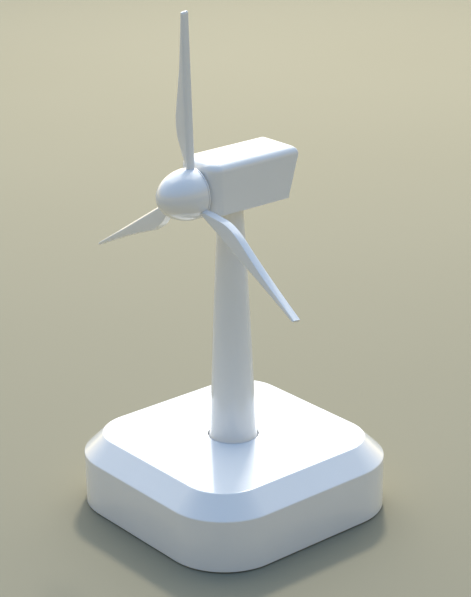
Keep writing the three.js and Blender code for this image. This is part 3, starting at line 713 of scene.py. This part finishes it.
def make_floor(radius=4):
    bm = bmesh.new()
    bmesh.ops.create_circle(bm, cap_ends=True, segments=96, radius=radius)
    floor = finish_mesh("studio_floor", bm)
    nodes = Nodes("studio_floor")
    nodes.tint(nodes.noise(3, 3), FLOOR_DARK, FLOOR_LIGHT)
    nodes.set(Roughness=0.9)
    nodes.shader.inputs["Specular IOR Level"].default_value = 0.1
    floor.data.materials.append(nodes.material)


def make_light(name, place, size, power, colour):
    """A square lamp that points at the base."""
    light = bpy.data.lights.new(name, "AREA")
    light.shape = "RECTANGLE"
    light.size, light.size_y = size, size
    light.energy = power
    light.color = colour
    lamp = bpy.data.objects.new(name, light)
    lamp.location = place
    lamp.rotation_euler = (Vector(LIGHT_AIM) - Vector(place)).to_track_quat("-Z", "Y").to_euler()
    bpy.context.scene.collection.objects.link(lamp)


def make_world():
    """Soft light from all round: warm and low at the horizon, pale blue above, and a bright broad glow
    low behind the object, which the glossy top faces mirror towards the camera. The camera itself sees
    only a plain pale backdrop."""
    world = bpy.data.worlds.new("studio")
    world.use_nodes = True
    tree = world.node_tree

    def new(kind, **settings):
        node = tree.nodes.new(kind)
        for key, value in settings.items():
            setattr(node, key, value)
        return node

    def ramp(stops):
        node = new("ShaderNodeValToRGB")
        elements = node.color_ramp.elements
        while len(elements) < len(stops):
            elements.new(1.0)
        for element, (position, colour) in zip(elements, stops):
            element.position = position
            element.color = (*colour, 1)
        return node

    place = new("ShaderNodeTexCoord").outputs["Generated"]
    split = new("ShaderNodeSeparateXYZ")
    tree.links.new(place, split.inputs["Vector"])
    sky = ramp(SKY)
    tree.links.new(split.outputs["Z"], sky.inputs["Fac"])

    flat = new("ShaderNodeVectorMath", operation="MULTIPLY")
    flat.inputs[1].default_value = (1, 1, BACK_FLATTEN)
    unit = new("ShaderNodeVectorMath", operation="NORMALIZE")
    toward = new("ShaderNodeVectorMath", operation="DOT_PRODUCT")
    toward.inputs[1].default_value = Vector(BACK_PLACE).normalized()
    glow = ramp([(position, (value,) * 3) for position, value in BACK_GLOW])
    glow.color_ramp.interpolation = "EASE"
    total = new("ShaderNodeMix", data_type="RGBA", blend_type="ADD")
    total.inputs["B"].default_value = (*BACK_LIGHT, 1)
    tree.links.new(place, flat.inputs[0])
    tree.links.new(flat.outputs["Vector"], unit.inputs[0])
    tree.links.new(unit.outputs["Vector"], toward.inputs[0])
    tree.links.new(toward.outputs["Value"], glow.inputs["Fac"])
    tree.links.new(glow.outputs["Color"], total.inputs["Factor"])
    tree.links.new(sky.outputs["Color"], total.inputs["A"])
    seen = new("ShaderNodeMix", data_type="RGBA")
    seen.inputs["B"].default_value = (*BACKDROP, 1)
    tree.links.new(new("ShaderNodeLightPath").outputs["Is Camera Ray"], seen.inputs["Factor"])
    tree.links.new(total.outputs["Result"], seen.inputs["A"])
    tree.links.new(seen.outputs["Result"], tree.nodes["Background"].inputs["Color"])
    bpy.context.scene.world = world


def make_camera():
    """The camera looks down at the object from its front right corner, through a long lens."""
    azimuth, elevation, roll = (math.radians(angle) for angle in CAMERA_TURN)
    right = Vector((math.cos(azimuth), math.sin(azimuth), 0))
    flat = math.cos(elevation)
    back = Vector((math.sin(azimuth) * flat, -math.cos(azimuth) * flat, math.sin(elevation)))
    up = back.cross(right)
    target = Vector((0, 0, AIM_Z)) + right * AIM_RIGHT
    rolled_right = right * math.cos(roll) + up * math.sin(roll)
    rolled_up = up * math.cos(roll) - right * math.sin(roll)
    data = bpy.data.cameras.new("view")
    data.lens, data.sensor_width = CAMERA_LENS, 36
    data.clip_start, data.clip_end = 0.01, 50
    camera = bpy.data.objects.new("view", data)
    turn = Matrix((rolled_right, rolled_up, back)).transposed().to_4x4()
    camera.matrix_world = Matrix.Translation((target + back * CAMERA_DISTANCE) * MM) @ turn
    bpy.context.scene.collection.objects.link(camera)
    bpy.context.scene.camera = camera


make_floor()
for lamp_settings in LIGHTS:
    make_light(*lamp_settings)
make_world()
make_camera()
bpy.context.scene.view_settings.view_transform = "Standard"
